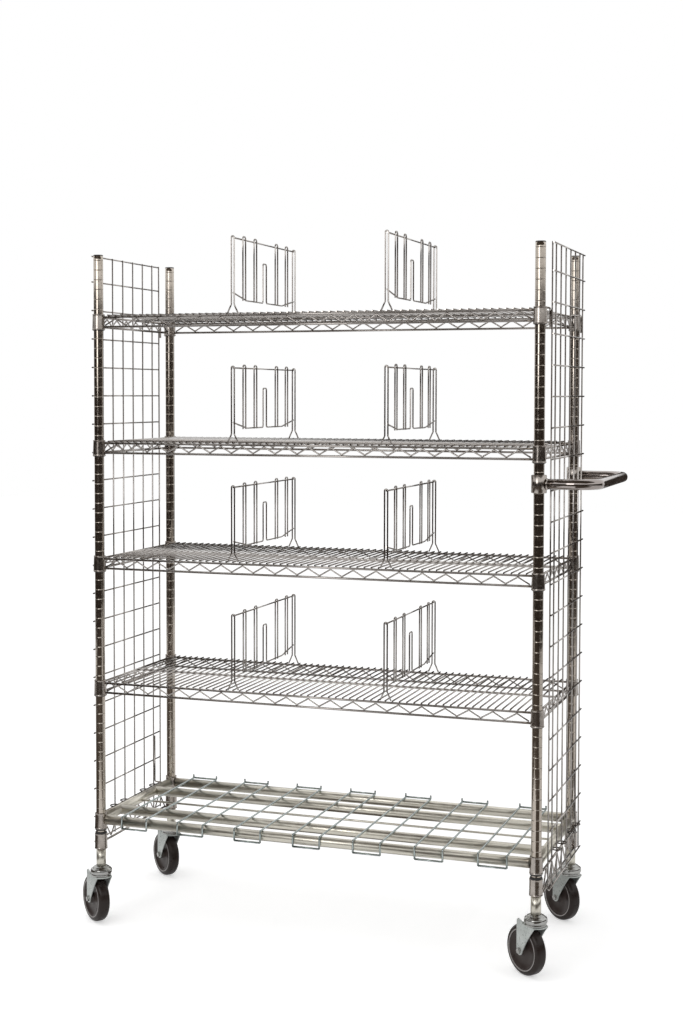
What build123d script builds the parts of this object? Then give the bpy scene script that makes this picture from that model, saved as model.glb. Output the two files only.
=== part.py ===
"""Order picking trolley: four notched posts, four wire shelves with lift-off dividers, a tubular base
shelf with wire hoops, a mesh panel at each end, a push handle and four swivel castors.

X runs along the shelves towards the push handle, Y runs from front to rear and Z is up. The pieces are
made about the point on the floor midway between the four posts, and are written with the origin on the
floor under the middle of the whole. Round stock is drawn with a few flat sides to keep the facets down. All
lengths are in millimetres.
"""

import os
from math import asin, atan2, cos, degrees, hypot, pi, radians, sin, sqrt

from build123d import *

os.makedirs("parts", exist_ok=True)

# Whole trolley
post_spacing_x = 1172.0
post_spacing_y = 440.0
notch_pitch = 25.4
shelf_steps = (14, 27, 39, 52)
post_rise = 155.0

# Fits
seat_gap = 0.3
running_gap = 0.05
plug_gap = 0.1
overrun = 2.0

# Posts and their caps
post_dia = 25.4
post_wall = 1.5
post_sides = 16
cap_thickness = 3.0
cap_plug_length = 15.0

# Collars that hold the shelves on the posts
collar_sides = 8
collar_height = 41.5
collar_top_apothem = 16.0
collar_bottom_apothem = 17.0
foot_collar_height = 40.5
foot_clear = 46.0
foot_collar_gap = 13.0

# Wire shelves
bent_sides = 3
rim_wire = 6.0
brace_wire = 4.0
deck_wire = 4.0
stringer_wire = 6.0
rim_drop = 8.0
truss_depth = 25.4
truss_pitch = 59.0
deck_pitch = 18.6

# Base shelf
base_tube_dia = 25.4
base_tube_wall = 1.5
base_tube_sides = 8
base_tube_drop = 18.0
inner_tube_share = 0.25
tie_rod_dia = 6.0
hoop_count = 7
hoop_pitch = 160.5
hoop_width = 71.5
hoop_wire = 5.0
hoop_upturn = 10.0
hoop_rear_overhang = 8.0

# Braces under the ends of the base shelf
end_truss_offset = 14.0
end_truss_depth = 52.0
end_truss_pitch = 73.0
end_truss_lift = 6.0

# Mesh end panels
panel_offset = 24.0
panel_wire = 4.0
panel_row_pitch = 75.0
panel_rows = 20
panel_end_row = 67.0
panel_bottom_drop = 85.0
panel_column_pitch = 61.0
panel_column_shares = (0.5, 1.5, 2.5)
panel_edge_column = 44.5
panel_row_overhang = 6.0
hook_wire = 5.0
hook_tail = 40.0
hook_lip = 12.0
anchor_height = 135.0

# Shelf dividers
divider_wire = 4.0
divider_wire_count = 11
divider_height = 196.0
divider_foot_spread = 14.0
divider_foot_height = 22.0
divider_low_rail = 41.0
divider_rail_bend = 127.0
divider_rail_end_rise = 16.0
hairpin_width = 18.0
hairpin_shares = (0.35, 0.7)
centre_pin_width = 24.0
centre_pin_top = 145.0

# Push handle
handle_dia = 25.4
handle_wall = 2.0
handle_reach = 136.0
handle_drop = 92.0
handle_bend_radius = 50.0
handle_sides = 8
handle_bend_steps = 4
clamp_radius = 19.0
clamp_height = 43.0

# Castors
wheel_dia = 125.0
wheel_width = 32.0
wheel_sides = 20
tyre_shoulder = 7.0
tyre_wall = 12.5
hub_rim_width = 29.0
boss_dia = 24.0
boss_sides = 12
bore_sides = 8
pin_sides = 12
axle_dia = 8.0
axle_head_dia = 15.0
axle_head_height = 5.5
axle_head_sides = 6
castor_trail = 35.0
castor_heading = 140.9
fork_sheet = 3.0
fork_inner_half = 19.5
fork_toe_radius = 11.0
fork_toe_steps = 4
fork_nose_radius = 28.0
fork_nose_steps = 4
fork_hollow_share = 0.03
fork_crown_reach = 36.0
fork_ear_rise = 10.0
fork_ear_slant = 5.0
wheel_clear = 3.5
race_radius = 28.5
race_sides = 16
race_height = 17.0
dome_top_radius = 16.0
dome_height = 10.0
kingpin_dia = 10.0
kingpin_head_dia = 16.0
kingpin_head_height = 3.0
stem_plug_length = 60.0

# Places worked out from the sizes above
half_x = post_spacing_x / 2
half_y = post_spacing_y / 2
crown_bottom = wheel_dia + wheel_clear
crown_top = crown_bottom + fork_sheet
race_bottom = crown_top + seat_gap
castor_top = race_bottom + race_height + dome_height
post_bottom = castor_top
hub_radius = wheel_dia / 2 - tyre_wall
foot_collar_bottom = post_bottom + foot_clear
base_collar_bottom = foot_collar_bottom + foot_collar_height + foot_collar_gap
base_top = base_collar_bottom + collar_height
shelf_tops = [base_top + step * notch_pitch for step in shelf_steps]
post_top = shelf_tops[-1] + post_rise
post_bore_radius = post_dia / 2 - post_wall
base_tube_z = base_top - base_tube_drop
base_tube_top = base_tube_z + base_tube_dia / 2
panel_x = half_x + panel_offset
handle_z = shelf_tops[2] - handle_drop
corners = {
    "front_left": (-half_x, -half_y),
    "front_right": (half_x, -half_y),
    "rear_left": (-half_x, half_y),
    "rear_right": (half_x, half_y),
}


nodes = {}


def save(name, solids):
    """Keep one node, a single solid or a group of separate ones, to be written at the end."""
    nodes[name] = list(solids)


def write_nodes():
    """Write every node, moved so that the origin is on the floor under the middle of the whole."""
    box = Compound([solid for solids in nodes.values() for solid in solids]).bounding_box()
    middle = box.center()
    home = Pos(-middle.X, -middle.Y, -box.min.Z)
    print(f"the posts' centre is written at {-middle.X:.4f}, {-middle.Y:.4f}, {-box.min.Z:.4f}")
    for name, solids in nodes.items():
        moved = [home * solid for solid in solids]
        shape = moved[0] if len(moved) == 1 else Compound(children=moved)
        shape.label = name
        export_step(shape, f"parts/{name}.step")


def bar_x(x_from, x_to, y, z, width):
    """A square wire along X between two places."""
    return Pos((x_from + x_to) / 2, y, z) * Box(x_to - x_from, width, width)


def bar_y(y_from, y_to, x, z, width):
    """A square wire along Y between two places."""
    return Pos(x, (y_from + y_to) / 2, z) * Box(width, y_to - y_from, width)


def bar_z(z_from, z_to, x, y, width):
    """An upright square wire between two heights."""
    return Pos(x, y, (z_from + z_to) / 2) * Box(width, width, z_to - z_from)


def bent_wire(plane, points, wire):
    """A three-sided wire bent in a plane, its flat as far from the path as a round wire's surface."""
    path = plane * Polyline(*points)
    radius = wire / 2 / sin(pi / bent_sides)
    section = Pos(radius * cos(pi / bent_sides) - wire / 2, 0) * RegularPolygon(radius, bent_sides)
    section = Plane(path @ 0, x_dir=plane.z_dir, z_dir=path % 0) * section
    return sweep(section, path=path, transition=Transition.RIGHT)


def zigzag(length, depth, pitch, wire):
    """Points of a brace that zigzags between two rims, as many whole waves as fit."""
    waves = max(1, round(length / pitch))
    step = length / waves / 2
    slope = hypot(step, depth) / step
    swing = (depth - wire * slope) / 2
    return [(-length / 2 + index * step, swing if index % 2 else -swing) for index in range(2 * waves + 1)]


def flats(radius, sides):
    """A regular outline with a given distance to its flats, one of which faces each axis."""
    return RegularPolygon(radius, sides, major_radius=False, rotation=180 / sides)


def collar(height, top_apothem, bottom_apothem):
    """A tapered collar with its clip, its foot at the origin, with a flat towards each neighbour."""
    upper = Plane.XY.offset(height) * flats(top_apothem, collar_sides)
    body = loft([flats(bottom_apothem, collar_sides), upper])
    return body - extrude(flats(post_dia / 2 + running_gap, collar_sides), amount=height)


def collar_apothem(drop):
    """Half width of a shelf collar at a distance below its top."""
    share = drop / collar_height
    return collar_top_apothem + (collar_bottom_apothem - collar_top_apothem) * share


def collar_edge(offset):
    """Distance along Y from a post's centre to its collar's foot, on a line that passes beside the centre."""
    quarter = collar_sides // 4
    turns = [2 * pi * index / collar_sides for index in range(1 - quarter, quarter)]
    return min((collar_bottom_apothem - offset * sin(turn)) / cos(turn) for turn in turns)


def tube(radius, wall, length, sides):
    """A tube along Z from the origin, with flat sides."""
    return extrude(flats(radius, sides) - flats(radius - wall, sides), amount=length)


def build_posts():
    """Four round posts, each with a plastic cap pushed into its top."""
    caps = []
    tube_top = post_top - cap_thickness
    for place, (x, y) in corners.items():
        ring = RegularPolygon(post_dia / 2, post_sides) - RegularPolygon(post_bore_radius, post_sides)
        save(f"post_{place}", [Pos(x, y, post_bottom) * extrude(ring, amount=tube_top - post_bottom)])
        cap = extrude(RegularPolygon(post_dia / 2, post_sides), amount=cap_thickness)
        cap += extrude(RegularPolygon(post_bore_radius - plug_gap, post_sides), amount=-cap_plug_length)
        caps.append(Pos(x, y, tube_top) * cap)
    save("post_caps", caps)


def build_truss_pair(top_z, along_x):
    """The two trusses of a shelf that run along X, or along Y: two rims and a zigzag brace each."""
    rim_z = top_z - rim_drop
    low_z = rim_z - truss_depth
    run, away = (half_x, half_y) if along_x else (half_y, half_x)
    bar = bar_x if along_x else bar_y
    plane = Plane.XZ if along_x else Plane.YZ
    top_end = run - collar_apothem(rim_drop + rim_wire / 2)
    low_end = run - collar_apothem(rim_drop + truss_depth + rim_wire / 2)
    brace_length = 2 * (low_end - brace_wire)
    points = zigzag(brace_length, truss_depth - rim_wire, truss_pitch, brace_wire)
    pieces = []
    for side in (-away, away):
        pieces.append(bar(-top_end, top_end, side, rim_z, rim_wire))
        pieces.append(bar(-low_end, low_end, side, low_z, rim_wire))
        place = Pos(0, side, (rim_z + low_z) / 2) if along_x else Pos(side, 0, (rim_z + low_z) / 2)
        pieces.append(place * bent_wire(plane, points, brace_wire))
    return pieces


def build_shelves():
    """Four wire shelves: a deck of cross wires on a stringer, trusses all round and corner collars."""
    rim_reach = half_y + rim_wire / 2
    span = half_x - collar_bottom_apothem - deck_wire
    side_count = int(span / deck_pitch)
    outline = Polyline((-deck_wire / 2, 0), (deck_wire / 2, 0), (0, deck_wire), close=True)
    wire = extrude(Plane.XZ * make_face(outline), amount=rim_reach, both=True)
    for number, top_z in enumerate(shelf_tops, 1):
        rim_top = top_z - rim_drop + rim_wire / 2
        deck = [Pos(index * deck_pitch, 0, rim_top) * wire for index in range(-side_count, side_count + 1)]
        stringer_end = half_x - rim_wire / 2
        deck.append(bar_x(-stringer_end, stringer_end, 0, rim_top - stringer_wire / 2, stringer_wire))
        save(f"shelf_{number}_deck", deck)
        save(f"shelf_{number}_trusses", build_truss_pair(top_z, True) + build_truss_pair(top_z, False))
        shape = collar(collar_height, collar_top_apothem, collar_bottom_apothem)
        collars = [Pos(x, y, top_z - collar_height) * shape for x, y in corners.values()]
        save(f"shelf_{number}_collars", collars)


def divider(number, side, top_z):
    """A divider of bent wire that stands on the front and rear rims of its shelf."""
    rim_top = top_z - rim_drop + rim_wire / 2
    foot_z = rim_top + seat_gap
    rim_z = top_z - rim_drop
    rail_z = rim_z + divider_height
    low_z = rim_z + divider_low_rail
    arch_z = rail_z + divider_wire
    knee_z = foot_z + divider_foot_height
    leg = divider_wire
    spread = divider_foot_spread - leg
    toe_z = foot_z + divider_wire / 2 * spread / hypot(spread, divider_foot_height)
    upright = [(-divider_foot_spread, toe_z), (-leg, knee_z), (-leg, arch_z),
               (leg, arch_z), (leg, knee_z), (divider_foot_spread, toe_z)]
    rail_end = half_y - divider_wire / 2
    low_end = half_y + divider_wire / 2
    pin = centre_pin_width / 2
    low_rail = [(-low_end, low_z + divider_rail_end_rise), (-divider_rail_bend, low_z), (-pin, low_z),
                (-pin, rim_z + centre_pin_top), (pin, rim_z + centre_pin_top), (pin, low_z),
                (divider_rail_bend, low_z), (low_end, low_z + divider_rail_end_rise)]
    x = side * divider_wire_count * deck_pitch
    pieces = [
        Pos(x, 0, 0) * bar_y(-low_end, low_end, 0, rail_z, divider_wire),
        Pos(x, 0, 0) * bent_wire(Plane.YZ, low_rail, divider_wire),
    ]
    for y in (-half_y, half_y):
        pieces.append(Pos(x, y, 0) * bent_wire(Plane.XZ, upright, divider_wire))
    half_pin = hairpin_width / 2
    pin_foot = low_z - divider_wire / 2
    hairpin = [(-half_pin, pin_foot), (-half_pin, rail_z + 2 * divider_wire),
               (half_pin, rail_z + 2 * divider_wire), (half_pin, pin_foot)]
    for share in hairpin_shares:
        for y in (-share * rail_end, share * rail_end):
            pieces.append(Pos(x + divider_wire, y, 0) * bent_wire(Plane.YZ, hairpin, divider_wire))
    save(f"divider_{number}_{'left' if side < 0 else 'right'}", pieces)


def build_base():
    """The base shelf: tubes between round collars, seven hoops over them and a brace under each end."""
    reach = half_x - collar_bottom_apothem
    depth = half_y - collar_bottom_apothem
    radius = base_tube_dia / 2
    long_tube = Rot(0, 90, 0) * tube(radius, base_tube_wall, 2 * reach, base_tube_sides)
    inner_tube = Rot(0, 90, 0) * tube(radius, base_tube_wall, 2 * (half_x - radius), base_tube_sides)
    side_tube = Rot(-90, 0, 0) * tube(radius, base_tube_wall, 2 * depth, base_tube_sides)
    tubes = [Pos(-reach, y, base_tube_z) * long_tube for y in (-half_y, half_y)]
    inner_y = post_spacing_y * inner_tube_share
    tubes += [Pos(-(half_x - radius), y, base_tube_z) * inner_tube for y in (-inner_y, inner_y)]
    tubes += [Pos(x, -depth, base_tube_z) * side_tube for x in (-half_x, half_x)]
    rod_end = half_x - radius
    tubes.append(bar_x(-rod_end, rod_end, 0, base_tube_z, tie_rod_dia))
    save("base_tubes", tubes)

    front = -half_y - radius - hoop_wire / 2
    rear = half_y + hoop_rear_overhang
    wire_z = base_tube_top + hoop_wire / 2
    low_z = base_tube_z - radius - hoop_wire / 2
    side_points = [(front, low_z - hoop_wire / 2), (front, wire_z), (rear, wire_z),
                   (rear, wire_z + hoop_upturn)]
    hoops = []
    inside = (hoop_width - hoop_wire) / 2
    for index in range(hoop_count):
        x = (index - (hoop_count - 1) / 2) * hoop_pitch
        for edge in (-hoop_width / 2, hoop_width / 2):
            hoops.append(Pos(x + edge, 0, 0) * bent_wire(Plane.YZ, side_points, hoop_wire))
        hoops.append(bar_x(x - inside, x + inside, front, low_z, hoop_wire))
        hoops.append(bar_x(x - inside, x + inside, rear, wire_z, hoop_wire))
    save("base_hoops", hoops)

    shape = collar(collar_height, collar_top_apothem, collar_bottom_apothem)
    save("base_collars", [Pos(x, y, base_collar_bottom) * shape for x, y in corners.values()])
    foot = collar(foot_collar_height, collar_bottom_apothem, collar_bottom_apothem)
    save("foot_collars", [Pos(x, y, foot_collar_bottom) * foot for x, y in corners.values()])

    low_rim = foot_collar_bottom + end_truss_lift
    high_rim = low_rim + end_truss_depth
    end = half_y - collar_edge(end_truss_offset - rim_wire / 2)
    points = zigzag(2 * (end - brace_wire), end_truss_depth - rim_wire, end_truss_pitch, brace_wire)
    braces = []
    for x in (-half_x - end_truss_offset, half_x + end_truss_offset):
        braces += [bar_y(-end, end, x, z, rim_wire) for z in (low_rim, high_rim)]
        braces.append(Pos(x, 0, (low_rim + high_rim) / 2) * bent_wire(Plane.YZ, points, brace_wire))
    save("base_end_braces", braces)


def build_panels():
    """A mesh panel outside each end, hooked over the highest shelf and pinned to the base shelf."""
    bottom = base_top - panel_bottom_drop
    row_heights = [bottom, bottom + panel_end_row]
    row_heights += [row_heights[-1] + index * panel_row_pitch for index in range(1, panel_rows)]
    row_heights.append(row_heights[-1] + panel_end_row)
    top = row_heights[-1]
    columns = [share * panel_column_pitch for share in panel_column_shares]
    columns.append(columns[-1] + panel_edge_column)
    row_end = columns[-1] + panel_row_overhang
    hook_y = half_y - collar_bottom_apothem - hook_wire
    rim_z = shelf_tops[-1] - rim_drop
    arch_z = rim_z + rim_wire / 2 + seat_gap + hook_wire / 2
    inner_x = half_x - rim_wire / 2 - hook_wire / 2 - seat_gap
    outer_x = panel_x - panel_wire / 2 - hook_wire / 2
    for name, side in (("left", -1), ("right", 1)):
        x = side * panel_x
        wires = [bar_z(bottom - panel_wire / 2, top + panel_wire / 2, x, sign * y, panel_wire)
                 for y in columns for sign in (-1, 1)]
        wires += [bar_y(-row_end, row_end, x + side * panel_wire, z, panel_wire) for z in row_heights]
        save(f"panel_{name}", wires)
        hook = [(side * outer_x, rim_z - hook_tail), (side * outer_x, arch_z), (side * inner_x, arch_z),
                (side * inner_x, arch_z - hook_lip)]
        hooks = [Pos(0, y, 0) * bent_wire(Plane.XZ, hook, hook_wire) for y in (-hook_y, hook_y)]
        save(f"panel_hooks_{name}", hooks)
    anchors = []
    for side in (-1, 1):
        foot = [(side * half_x, base_tube_top + panel_wire / 2),
                (side * (panel_x - panel_wire), base_tube_top + panel_wire / 2),
                (side * (panel_x - panel_wire), base_tube_top + anchor_height)]
        anchors.append(Pos(0, columns[2], 0) * bent_wire(Plane.XZ, foot, panel_wire))
    save("panel_anchors", anchors)


def build_handle():
    """The push handle, a bent tube between two clamps on the right-hand posts."""
    start = half_x + clamp_radius * cos(radians(180 / collar_sides))
    out = half_x + handle_reach
    straight = half_y - handle_bend_radius
    quarter = [radians(90 * step / handle_bend_steps) for step in range(handle_bend_steps + 1)]
    bend = [(out - handle_bend_radius * (1 - cos(turn)), straight + handle_bend_radius * sin(turn), handle_z)
            for turn in quarter]
    points = bend + [(start, half_y, handle_z)]
    path = Polyline(*[(x, -y, z) for x, y, z in points[::-1]], *points)
    radius = handle_dia / 2
    section = RegularPolygon(radius, handle_sides) - RegularPolygon(radius - handle_wall, handle_sides)
    section = Plane(path @ 0, x_dir=(0, 0, 1), z_dir=path % 0) * section
    save("push_handle", [sweep(section, path=path, transition=Transition.RIGHT)])
    ring = RegularPolygon(clamp_radius, collar_sides, rotation=180 / collar_sides)
    ring -= flats(post_dia / 2 + running_gap, collar_sides)
    clamp = Pos(half_x, 0, handle_z - clamp_height / 2) * extrude(ring, amount=clamp_height)
    save("handle_clamps", [Pos(0, y, 0) * clamp for y in (-half_y, half_y)])


def castor_stem():
    """The fixed top of a castor: a plug in the post, a stepped dome over the bearing and the kingpin."""
    stem = Pos(0, 0, race_bottom) * extrude(flats(race_radius, race_sides), amount=race_height)
    slope = degrees(atan2(race_radius - dome_top_radius, dome_height))
    dome = extrude(flats(race_radius, race_sides), amount=dome_height, taper=slope)
    stem += Pos(0, 0, race_bottom + race_height) * dome
    stem += Pos(0, 0, castor_top) * extrude(RegularPolygon(post_bore_radius - plug_gap, post_sides),
                                            amount=stem_plug_length)
    head_top = crown_bottom - seat_gap
    stem += Pos(0, 0, race_bottom) * extrude(RegularPolygon(kingpin_dia / 2, pin_sides),
                                             amount=head_top - race_bottom)
    return stem + Pos(0, 0, head_top) * extrude(RegularPolygon(kingpin_head_dia / 2, bore_sides),
                                                amount=-kingpin_head_height)


def castor_fork():
    """The fork: a round-nosed crown plate and two legs, each a strip with a wing up to the crown's nose."""
    mid_z = wheel_dia / 2
    strip_front = castor_trail - fork_toe_radius
    strip_back = castor_trail + fork_toe_radius
    wing_front = -sqrt(fork_nose_radius ** 2 - fork_inner_half ** 2)
    ear_top = crown_top + fork_ear_rise
    toe = [radians(180 * step / fork_toe_steps) for step in range(fork_toe_steps + 1)]
    outline = [(castor_trail + fork_toe_radius * cos(turn), mid_z - fork_toe_radius * sin(turn))
               for turn in toe]
    outline += [((strip_front + wing_front) / 2, (mid_z + crown_bottom) / 2 + wheel_dia * fork_hollow_share),
                (wing_front, crown_bottom), (wing_front, crown_top), (strip_front, crown_top),
                (strip_front, ear_top - fork_ear_slant), (strip_back - fork_ear_slant, ear_top),
                (strip_back, ear_top - fork_ear_slant)]
    leg = extrude(Plane.XZ * make_face(Polyline(*outline, close=True)), amount=fork_sheet)
    bore = extrude(flats(axle_dia / 2 + running_gap, bore_sides), amount=fork_sheet)
    leg -= Pos(castor_trail, 0, mid_z) * Rot(90, 0, 0) * bore
    outer_half = fork_inner_half + fork_sheet
    reach = asin(fork_inner_half / fork_nose_radius)
    nose = [reach * (1 - 2 * step / fork_nose_steps) for step in range(fork_nose_steps + 1)]
    plate = [(-fork_nose_radius * cos(turn), fork_nose_radius * sin(turn)) for turn in nose]
    plate += [(fork_crown_reach, -fork_inner_half), (fork_crown_reach, fork_inner_half)]
    crown = Pos(0, 0, crown_bottom) * extrude(make_face(Polyline(*plate, close=True)), amount=fork_sheet)
    bore = extrude(flats(kingpin_dia / 2 + running_gap, bore_sides), amount=fork_sheet)
    crown -= Pos(0, 0, crown_bottom) * bore
    return crown + Pos(0, outer_half, 0) * leg + Pos(0, -fork_inner_half, 0) * leg


def castor_axle():
    """The axle, a pin through both legs with a hexagonal head at each end."""
    outer_half = fork_inner_half + fork_sheet
    axle = extrude(RegularPolygon(axle_dia / 2, pin_sides), amount=outer_half, both=True)
    head = extrude(RegularPolygon(axle_head_dia / 2, axle_head_sides), amount=axle_head_height)
    axle += Pos(0, 0, outer_half) * head + Pos(0, 0, -outer_half - axle_head_height) * head
    return Pos(castor_trail, 0, wheel_dia / 2) * Rot(90, 0, 0) * axle


def castor_wheel():
    """The hub, a disc with a boss on each side, and the tyre with sloping shoulders round it."""
    hub = extrude(flats(hub_radius, wheel_sides), amount=hub_rim_width / 2, both=True)
    hub += extrude(flats(boss_dia / 2, boss_sides), amount=fork_inner_half - seat_gap, both=True)
    hub -= extrude(flats(axle_dia / 2 + running_gap, bore_sides), amount=fork_inner_half, both=True)
    half_width = wheel_width / 2
    tyre = extrude(flats(wheel_dia / 2, wheel_sides), amount=half_width, both=True)
    tyre = chamfer(tyre.faces().filter_by(Axis.Z).edges(), tyre_shoulder)
    tyre -= extrude(flats(hub_radius, wheel_sides), amount=half_width, both=True)
    seat = Pos(castor_trail, 0, wheel_dia / 2) * Rot(90, 0, 0)
    return seat * hub, seat * tyre


def build_castors():
    """Four swivel castors, all trailing the same way: a fixed stem, and a fork, axle, hub and tyre."""
    stem, fork, axle = castor_stem(), castor_fork(), castor_axle()
    hub, tyre = castor_wheel()
    for place, (x, y) in corners.items():
        save(f"castor_{place}_stem", [Pos(x, y, 0) * stem])
        seat = Pos(x, y, 0) * Rot(0, 0, castor_heading)
        for piece, solid in (("fork", fork), ("axle", axle), ("hub", hub), ("tyre", tyre)):
            save(f"castor_{place}_{piece}", [seat * solid])


build_posts()
build_shelves()
for shelf_number, shelf_top in enumerate(shelf_tops, 1):
    for divider_side in (-1, 1):
        divider(shelf_number, divider_side, shelf_top)
build_base()
build_panels()
build_handle()
build_castors()
write_nodes()
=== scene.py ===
"""Order picking trolley: plated posts, wire shelves, dividers, mesh ends, push handle and castors.

Each class below makes one sub-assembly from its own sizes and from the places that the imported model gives.
All lengths are in metres, +X runs towards the push handle, +Y to the rear and +Z up. A Bend is a radius and a
number of straight pieces, and a Profile is rows of radius and height.
"""

import logging
import math
from dataclasses import dataclass, field
from enum import Enum

import bpy
import numpy as np
from mathutils import Matrix, Vector
from numpy.typing import ArrayLike, NDArray

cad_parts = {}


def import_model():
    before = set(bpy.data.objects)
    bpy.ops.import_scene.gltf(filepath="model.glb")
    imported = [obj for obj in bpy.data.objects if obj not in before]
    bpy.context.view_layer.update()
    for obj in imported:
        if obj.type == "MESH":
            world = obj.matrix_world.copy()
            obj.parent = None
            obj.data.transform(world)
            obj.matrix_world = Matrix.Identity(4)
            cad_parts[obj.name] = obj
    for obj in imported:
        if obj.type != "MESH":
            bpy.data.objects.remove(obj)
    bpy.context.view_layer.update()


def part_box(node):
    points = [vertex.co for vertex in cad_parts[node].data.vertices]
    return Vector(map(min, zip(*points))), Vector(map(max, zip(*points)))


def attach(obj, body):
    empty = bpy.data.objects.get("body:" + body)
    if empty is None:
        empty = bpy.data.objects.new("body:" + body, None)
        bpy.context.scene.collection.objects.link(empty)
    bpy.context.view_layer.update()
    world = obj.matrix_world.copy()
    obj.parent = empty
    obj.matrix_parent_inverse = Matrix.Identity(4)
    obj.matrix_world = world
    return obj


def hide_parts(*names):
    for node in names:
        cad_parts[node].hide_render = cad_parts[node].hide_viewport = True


Array = NDArray[np.float64]
Pair = tuple[float, float]
Triple = tuple[float, float, float]
Profile = tuple[Pair, ...]
Bend = tuple[float, int]
Socket = bpy.types.NodeSocket
log = logging.getLogger("trolley")

IMAGE_WIDTH = 683
IMAGE_HEIGHT = 1024
FRAME_BODY = "frame"
SHELF_NUMBERS = range(1, 5)
X_AXIS, Y_AXIS, Z_AXIS = np.eye(3)
NUT_SIDES, THIN_SIDES, WIRE_SIDES, ROD_SIDES, BOLT_SIDES = 6, 8, 10, 12, 24
TUBE_SIDES, POST_SIDES, DOME_SIDES, WHEEL_SIDES = 32, 36, 48, 64


class Ends(Enum):
    """How a surface of rings is closed along its length."""

    CAPPED = "capped"
    JOINED = "joined"


class Place(Enum):
    """A place on the trolley whose name is part of node names."""

    @property
    def label(self) -> str:
        """The place's name in node names."""
        return self.name.lower()


class Side(Place):
    """The two ends of the trolley."""

    LEFT = -1
    RIGHT = 1


class Corner(Place):
    """The four posts and castors, each with its direction from the middle."""

    FRONT_LEFT = (-1, -1)
    FRONT_RIGHT = (1, -1)
    REAR_LEFT = (-1, 1)
    REAR_RIGHT = (1, 1)


# Surfaces


def unit(vectors: Array) -> Array:
    """Vectors scaled to length one."""
    return vectors / np.linalg.norm(vectors, axis=-1, keepdims=True)


def points(x: ArrayLike, y: ArrayLike, z: ArrayLike) -> Array:
    """Points from their x, y and z, where a lone number stands for every point."""
    return np.stack(np.broadcast_arrays(x, y, z), axis=-1).astype(np.float64)


def arc(start: float, end: float, count: int) -> Array:
    """Points (cos a, sin a) of a circle of radius one, with a running from start to end in radians."""
    angle = np.linspace(start, end, count)
    return np.stack([np.cos(angle), np.sin(angle)], axis=1)


def spaced(count: int, pitch: float) -> Array:
    """Places at an even pitch, half of them on each side of zero."""
    return pitch * (np.arange(count) - (count - 1) / 2)


def straight(starts: Array, ends: Array) -> Array:
    """Paths of straight wires from starts to ends, each of shape (wires, 3)."""
    return np.stack([starts, ends], axis=1)


def rounded(corners: Array, radius: float, steps: int = 5) -> Array:
    """Round the corners of an open path.

    A corner becomes the arc of the given radius that touches both of its runs. A point of the arc is its
    centre plus the two end radii mixed by sin((1-t)a)/sin a and sin(ta)/sin a, where a is the angle between
    them.

    Args:
        corners: one row each, with no three in line.
        radius: the bend radius on the centre line.
        steps: straight pieces in each arc.

    Returns:
        The path's points, with each inner corner replaced by steps + 1 points.
    """
    before = unit(corners[:-2] - corners[1:-1])
    after = unit(corners[2:] - corners[1:-1])
    half = np.arccos(np.clip(np.sum(before * after, axis=1), -1, 1))[:, None] / 2
    centre = corners[1:-1] + unit(before + after) * radius / np.sin(half)
    start = corners[1:-1] + before * radius / np.tan(half) - centre
    finish = corners[1:-1] + after * radius / np.tan(half) - centre
    sweep = (np.pi - 2 * half)[:, None]
    share = np.linspace(0, 1, steps + 1)[None, :, None]
    mixed = np.sin((1 - share) * sweep) * start[:, None] + np.sin(share * sweep) * finish[:, None]
    arcs = centre[:, None] + mixed / np.sin(sweep)
    return np.vstack([corners[:1], arcs.reshape(-1, 3), corners[-1:]])


def round_wire(paths: Array, normal: Array, radius: float, sides: int) -> Array:
    """Rings of round wires or tubes that follow paths, each path in a plane.

    A ring's point stands at path + radius * (cos a * normal + sin a * (tangent x normal)), and the last term
    is lengthened by one over the cosine of half the turn, so that a bend keeps its full width.

    Args:
        paths: shape (wires, points, 3), or (points, 3) for one wire.
        normal: the normal of the plane that each path lies in.
        radius: the wire's radius.
        sides: points in each ring.

    Returns:
        Ring points, shape (wires, points, sides, 3).
    """
    paths = paths.reshape(-1, *paths.shape[-2:])
    runs = unit(np.diff(paths, axis=1))
    tangent = unit(np.concatenate([runs[:, :1], runs[:, :-1] + runs[:, 1:], runs[:, -1:]], axis=1))
    lead = np.concatenate([runs, runs[:, -1:]], axis=1)
    widen = 1 / np.clip(np.sum(tangent * lead, axis=-1, keepdims=True), 0.3, 1)
    side = np.cross(tangent, normal) * widen
    angle = np.linspace(0, 2 * np.pi, sides, endpoint=False)[:, None]
    ring = np.cos(angle) * normal + np.sin(angle) * side[:, :, None, :]
    return paths[:, :, None, :] + radius * ring


def lathe(profile: ArrayLike, sides: int, origin: Pair = (0.0, 0.0)) -> Array:
    """Rings of a turned shape about Z.

    A ring's point is (radius * cos a, radius * sin a, height), so a profile that climbs faces outwards.

    Args:
        profile: rows of radius and height.
        sides: points in each ring.
        origin: the radius and height that the rows are given from.

    Returns:
        Ring points, shape (1, rows, sides, 3).
    """
    angle = np.linspace(0, 2 * np.pi, sides, endpoint=False)
    radius, height = np.split(np.add(profile, origin), 2, axis=1)
    return points(radius * np.cos(angle), radius * np.sin(angle), height)[None]


def band(inner: float, outer: float, low: float, high: float, edge: float) -> Array:
    """Profile of a ring between two radii and two heights, with its outer edges softened."""
    return np.array([[inner, low], [outer - edge, low], [outer, low + edge], [outer, high - edge],
                     [outer - edge, high], [inner, high]])


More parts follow.
